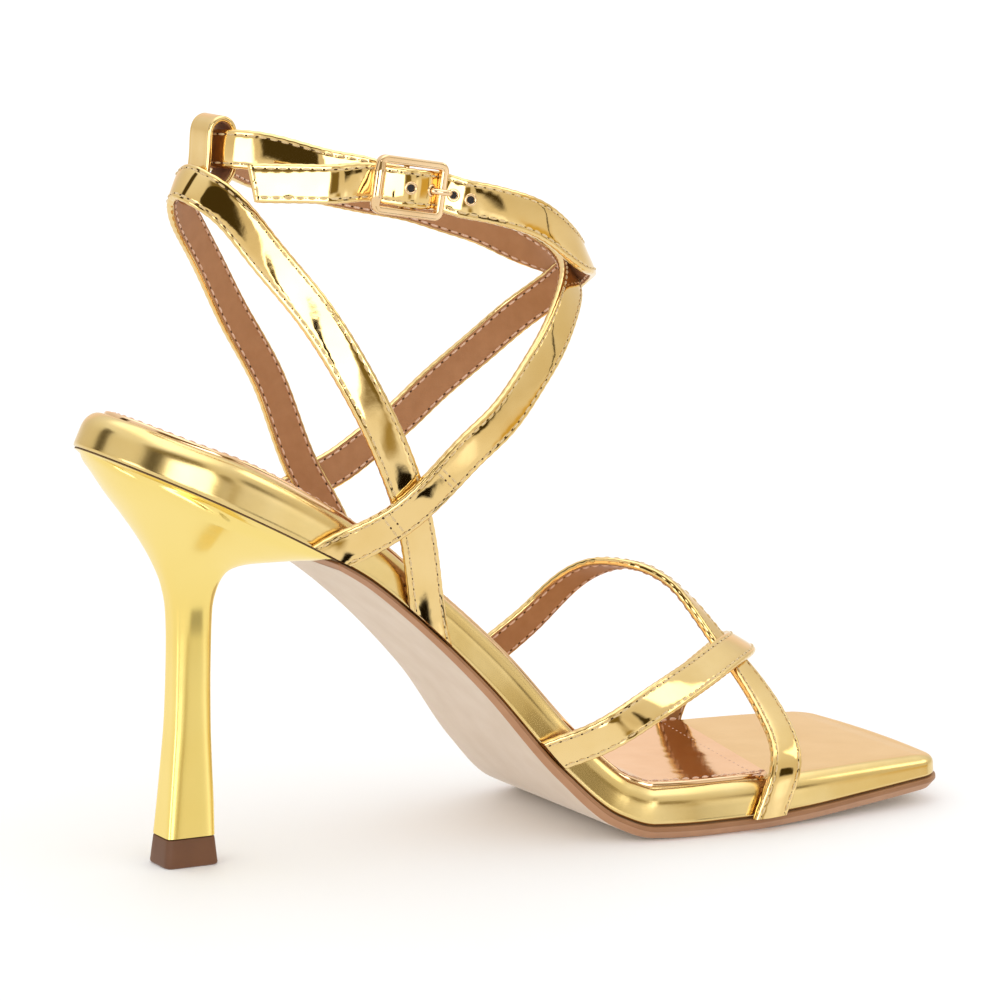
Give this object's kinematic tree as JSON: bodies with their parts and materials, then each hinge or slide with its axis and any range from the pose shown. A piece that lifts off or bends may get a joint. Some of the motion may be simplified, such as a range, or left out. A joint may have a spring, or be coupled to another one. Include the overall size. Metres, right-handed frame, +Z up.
{
  "type": "strappy heeled sandal",
  "caption": "Right-foot strappy sandal in mirror-gold foil with a slim high heel, square toe, crossing toe straps and a buckled crossing ankle strap",
  "frame": {"origin": "centre of the heel tip's print on the floor", "axes": "+X from the heel toward the toe, +Y toward the inner side of the foot (to the left as worn), +Z up"},
  "size_m": [0.2262, 0.0758, 0.1765],
  "materials": {
    "gold_foil": "mirror-gold foil coated synthetic leather, folded edges, tan lining",
    "sock_foil": "mirror-gold foil coated synthetic leather sock lining, stitched",
    "heel_gold": "electroplated bright gold over moulded plastic",
    "sole_tan": "satin beige outsole with a brown painted edge",
    "tip_brown": "matt brown heel top piece",
    "buckle_metal": "polished pale rose-gold plating"
  },
  "bodies": {
    "root": {"outsole": "sole_tan", "insole_rim": "gold_foil", "sock": "sock_foil", "heel": "heel_gold", "heel_tip": "tip_brown", "ankle_straps": "gold_foil", "toe_straps": "gold_foil", "back_loop": "gold_foil", "buckle_frame": "buckle_metal", "buckle_prong": "buckle_metal"}
  },
  "joints": []
}
